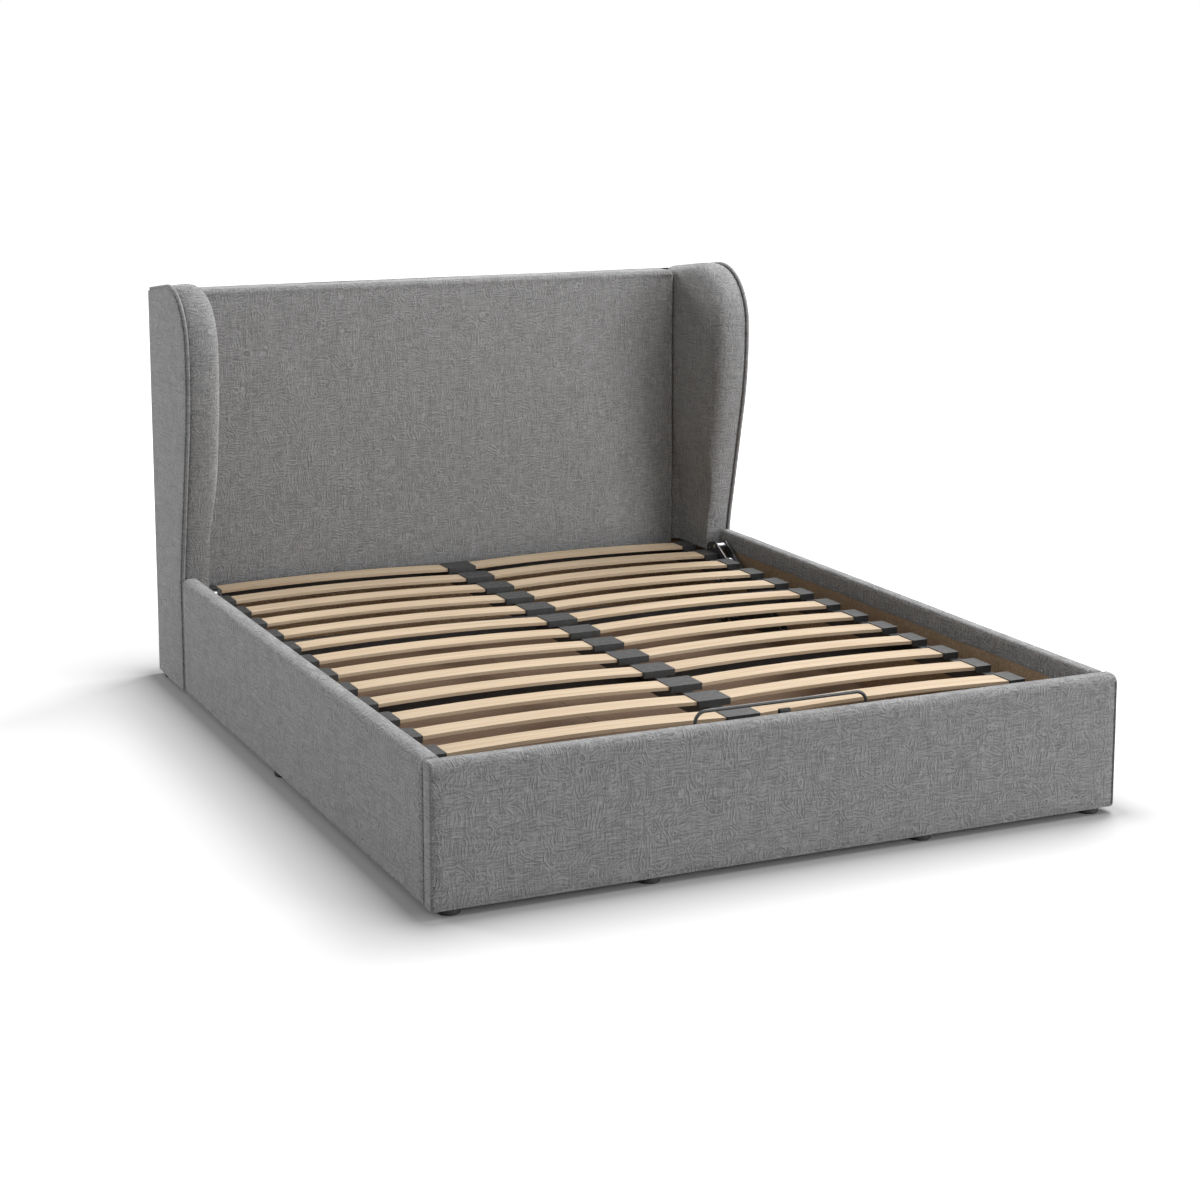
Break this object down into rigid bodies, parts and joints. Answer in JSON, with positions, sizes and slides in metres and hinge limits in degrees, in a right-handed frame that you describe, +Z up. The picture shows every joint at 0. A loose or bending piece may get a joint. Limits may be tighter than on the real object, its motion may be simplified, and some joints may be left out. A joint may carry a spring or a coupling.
{
  "type": "bed frame",
  "caption": "Upholstered wingback bed frame with piped wings, low glide feet and a sprung slat platform that lifts at its foot end over a storage base.",
  "frame": {"origin": "on the floor under the middle of the bed", "axes": "+X to the right as seen from the foot end, +Y towards the headboard, +Z up"},
  "size_m": [1.67, 2.15, 1.1099],
  "materials": {
    "upholstery": "mottled mid-grey woven cloth over foam",
    "piping": "mid-grey woven cloth round a cord",
    "board": "raw particle board",
    "timber": "planed softwood",
    "backing_cloth": "black non-woven cloth",
    "glide_plastic": "matt black",
    "zinc_steel": "zinc plated",
    "rubber": "matt black",
    "black_steel": "black powder coat",
    "rod_steel": "polished",
    "slat_wood": "clear lacquered beech ply",
    "cap_plastic": "fine texture",
    "webbing": "woven polyester webbing"
  },
  "bodies": {
    "bed_base": {"base_bolts": "zinc_steel", "base_head_board": "board", "corner_brackets": "zinc_steel", "end_ledges": "timber", "footboard_board": "board", "footboard_cover": "upholstery", "glide_feet": "glide_plastic", "glide_screws": "zinc_steel", "headboard_back_cloth": "backing_cloth", "headboard_cross_rails": "timber", "headboard_pad": "upholstery", "headboard_ply": "board", "headboard_posts": "timber", "hinge_pins": "zinc_steel", "left_base_board": "board", "left_hinge_plate": "black_steel", "left_rail_board": "board", "left_rail_cover": "upholstery", "left_wing_board": "board", "left_wing_pad": "upholstery", "left_wing_panel": "upholstery", "left_wing_piping": "piping", "middle_beam": "timber", "platform_rests": "zinc_steel", "rest_buffers": "rubber", "right_base_board": "board", "right_hinge_plate": "black_steel", "right_rail_board": "board", "right_rail_cover": "upholstery", "right_wing_board": "board", "right_wing_pad": "upholstery", "right_wing_panel": "upholstery", "right_wing_piping": "piping", "side_ledges": "timber", "wing_bolts": "zinc_steel", "wing_joiners": "zinc_steel"},
    "front_arms": {"left_front_arm": "black_steel", "right_front_arm": "black_steel"},
    "rear_arms": {"left_rear_arm": "black_steel", "right_rear_arm": "black_steel"},
    "platform": {"foot_tube": "black_steel", "head_tube": "black_steel", "middle_tube": "black_steel", "cross_tubes": "black_steel", "left_side_tube": "black_steel", "right_side_tube": "black_steel", "left_slats": "slat_wood", "right_slats": "slat_wood", "side_slat_caps": "cap_plastic", "middle_slat_caps": "cap_plastic", "left_lift_plate": "black_steel", "right_lift_plate": "black_steel", "lift_pins": "zinc_steel", "mattress_bar": "black_steel", "lift_strap": "webbing"},
    "strut_cylinders": {"left_strut_cylinder": "black_steel", "right_strut_cylinder": "black_steel"},
    "strut_rods": {"left_strut_rod": "rod_steel", "right_strut_rod": "rod_steel"}
  },
  "joints": [
    {"name": "front_arm_pivot", "type": "hinge", "parent": "bed_base", "child": "front_arms", "pos_m": [0, 0.555, 0.176], "axis": [1, 0, 0], "range_deg": [0, 55.5]},
    {"name": "platform_pivot", "type": "hinge", "parent": "front_arms", "child": "platform", "pos_m": [0, 0.75, 0.286], "axis": [1, 0, 0], "range_deg": [-91.81, 0]},
    {"name": "rear_arm_pivot", "type": "hinge", "parent": "bed_base", "child": "rear_arms", "pos_m": [0, 0.399, 0.1], "axis": [1, 0, 0], "range_deg": [0, 44.11]},
    {"name": "strut_pivot", "type": "hinge", "parent": "bed_base", "child": "strut_cylinders", "pos_m": [0, 0.709, 0.078], "axis": [1, 0, 0], "range_deg": [0, 41.4]},
    {"name": "strut_slide", "type": "slide", "parent": "strut_cylinders", "child": "strut_rods", "axis": [0, 0.3387, 0.9409], "range_m": [0, 0.1085]}
  ],
  "couplings": [
    {"joint": "platform_pivot", "follows": "front_arm_pivot", "ratio": -1.6534},
    {"joint": "rear_arm_pivot", "follows": "front_arm_pivot", "ratio": 0.7938},
    {"joint": "strut_pivot", "follows": "front_arm_pivot", "ratio": 0.745},
    {"joint": "strut_slide", "follows": "front_arm_pivot", "m_per_rad": 0.11179}
  ]
}
